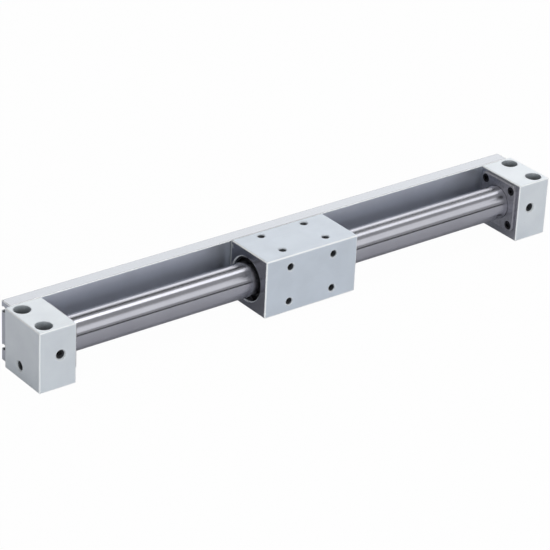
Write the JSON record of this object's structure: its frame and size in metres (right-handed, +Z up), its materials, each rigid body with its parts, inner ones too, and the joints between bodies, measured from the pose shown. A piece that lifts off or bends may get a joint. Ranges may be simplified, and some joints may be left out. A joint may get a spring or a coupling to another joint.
{
  "type": "rodless pneumatic cylinder",
  "caption": "Rodless air cylinder: a block carriage slides on a steel tube between two end blocks, coupled by magnets to the piston inside, with a flat switch rail behind.",
  "frame": {"origin": "on the base, at the middle of the pattern of four mounting holes, under the tube's axis", "axes": "+X along the tube, +Y back to the switch rail, +Z up from the base"},
  "size_m": [0.296, 0.0364, 0.0314],
  "materials": {
    "anodised_block": "fine satin clear anodised",
    "anodised_carriage": "fine satin clear anodised",
    "anodised_rail": "extruded, satin clear anodised",
    "tube_steel": "ground and polished stainless steel",
    "plate_steel": "satin stainless steel",
    "screw_steel": "black oxide",
    "spring_steel": "phosphated spring steel",
    "yoke_steel": "plated steel",
    "magnet_nickel": "nickel plated",
    "piston_aluminium": "machined",
    "bearing_resin": "filled black resin",
    "pad_resin": "light grey sliding resin",
    "seal_rubber": "matt nitrile rubber",
    "bumper_rubber": "matt urethane rubber"
  },
  "bodies": {
    "frame": {"end_block_left": "anodised_block", "end_block_right": "anodised_block", "cylinder_tube": "tube_steel", "switch_rail": "anodised_rail", "rail_screws": "screw_steel", "clamp_plate_left": "plate_steel", "clamp_plate_right": "plate_steel", "clamp_screws_left": "screw_steel", "clamp_screws_right": "screw_steel", "tube_gasket_left": "seal_rubber", "tube_gasket_right": "seal_rubber", "tube_retaining_ring_left": "spring_steel", "tube_retaining_ring_right": "spring_steel", "bumper_left": "bumper_rubber", "bumper_right": "bumper_rubber"},
    "carriage": {"carriage_body": "anodised_carriage", "slider_sleeve": "plate_steel", "guide_pad": "pad_resin", "pad_screws": "screw_steel", "switch_magnet": "magnet_nickel", "outer_yoke_1": "yoke_steel", "outer_yoke_2": "yoke_steel", "outer_yoke_3": "yoke_steel", "outer_yoke_4": "yoke_steel", "outer_yoke_5": "yoke_steel", "outer_magnet_1": "magnet_nickel", "outer_magnet_2": "magnet_nickel", "outer_magnet_3": "magnet_nickel", "outer_magnet_4": "magnet_nickel", "outer_spacer_left": "piston_aluminium", "outer_spacer_right": "piston_aluminium", "bearing_ring_left": "bearing_resin", "bearing_ring_right": "bearing_resin", "scraper_left": "seal_rubber", "scraper_right": "seal_rubber", "snap_ring_left": "spring_steel", "snap_ring_right": "spring_steel"},
    "piston": {"piston_shaft": "yoke_steel", "inner_yoke_1": "yoke_steel", "inner_yoke_2": "yoke_steel", "inner_yoke_3": "yoke_steel", "inner_yoke_4": "yoke_steel", "inner_yoke_5": "yoke_steel", "inner_magnet_1": "magnet_nickel", "inner_magnet_2": "magnet_nickel", "inner_magnet_3": "magnet_nickel", "inner_magnet_4": "magnet_nickel", "piston_left": "piston_aluminium", "piston_right": "piston_aluminium", "piston_seal_left": "seal_rubber", "piston_seal_right": "seal_rubber", "piston_wear_band_left": "bearing_resin", "piston_wear_band_right": "bearing_resin", "piston_nut_left": "screw_steel", "piston_nut_right": "screw_steel"}
  },
  "joints": [
    {"name": "carriage_slide", "type": "slide", "parent": "frame", "child": "carriage", "axis": [1, 0, 0], "range_m": [-0.1, 0.1]},
    {"name": "piston_slide", "type": "slide", "parent": "frame", "child": "piston", "axis": [1, 0, 0], "range_m": [-0.1, 0.1]}
  ],
  "couplings": [
    {"joint": "piston_slide", "follows": "carriage_slide", "ratio": 1}
  ]
}
